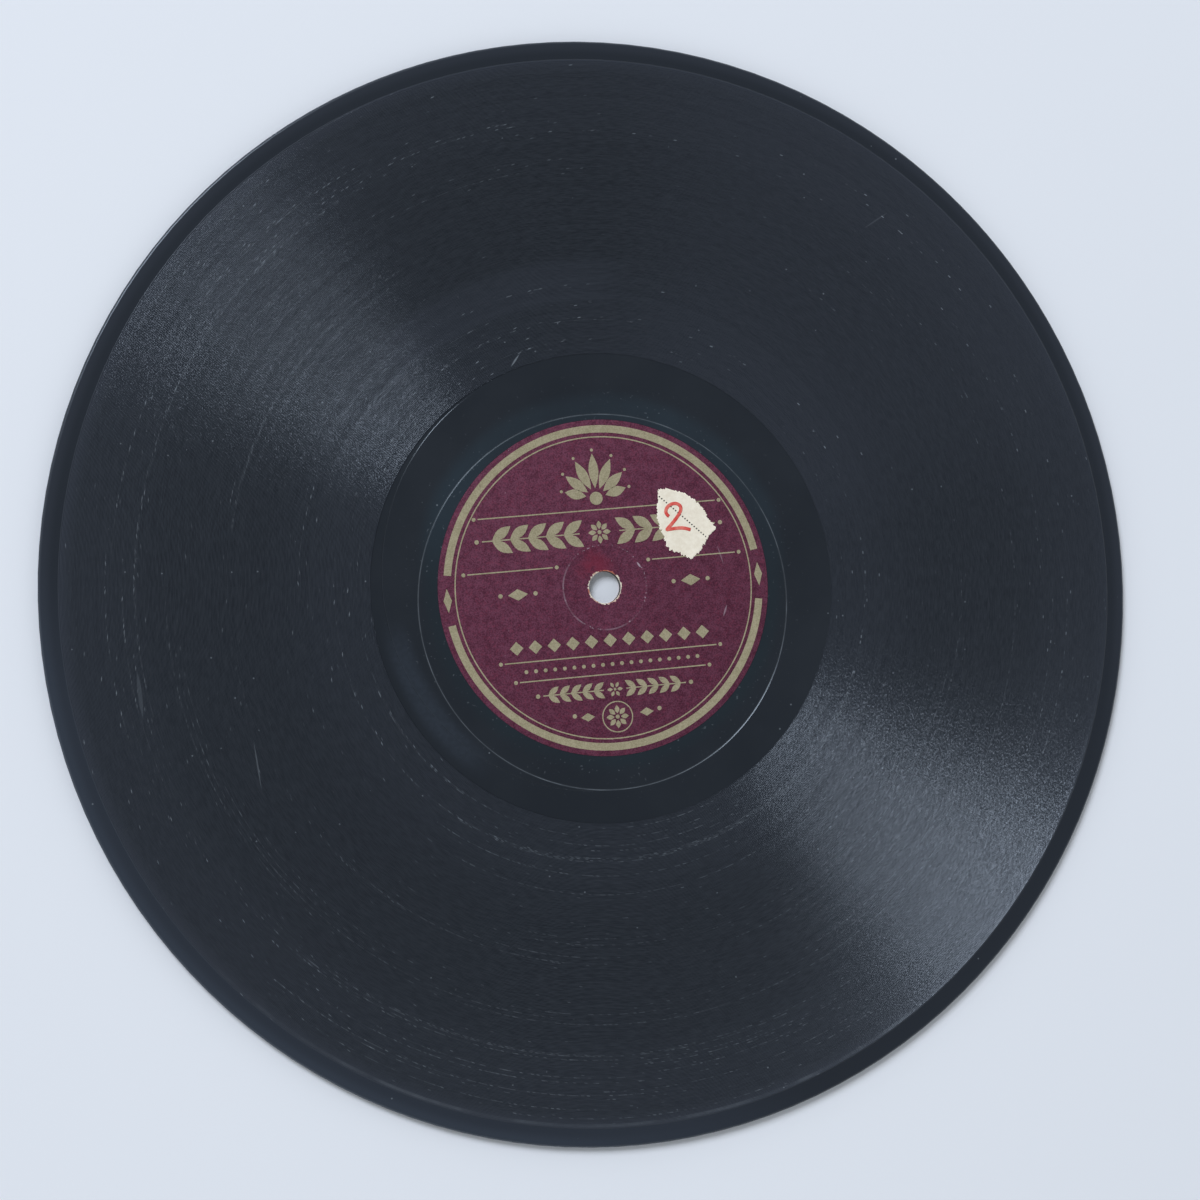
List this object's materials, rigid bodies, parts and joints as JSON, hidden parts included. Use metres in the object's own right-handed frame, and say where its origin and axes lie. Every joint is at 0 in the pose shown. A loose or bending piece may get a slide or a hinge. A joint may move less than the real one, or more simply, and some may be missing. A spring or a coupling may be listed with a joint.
{
  "type": "shellac record",
  "caption": "Black laminated shellac gramophone record with grooved faces, maroon paper labels, a torn paper sticker and a centre hole that drops over a turntable spindle.",
  "frame": {"origin": "on the spindle axis, at the plane of the back groove band", "axes": "+Z along the spindle axis out of the front face, +Y towards the top of the front label"},
  "size_m": [0.25, 0.25, 0.0022],
  "materials": {
    "shellac_core": "coarse slate-filled shellac compound, ground at the rim",
    "shellac_facing": "fine black shellac, pressed with grooves, glossy on the plain bands",
    "membrane_paper": "thin paper soaked with shellac",
    "label_paper": "uncoated maroon paper printed in dull gold ink",
    "sticker_paper": "torn cream paper with a handwritten red numeral"
  },
  "bodies": {
    "root": {"core_disc": "shellac_core", "front_paper_membrane": "membrane_paper", "back_paper_membrane": "membrane_paper", "front_facing": "shellac_facing", "back_facing": "shellac_facing", "front_label": "label_paper", "back_label": "label_paper", "torn_sticker": "sticker_paper"}
  },
  "joints": []
}
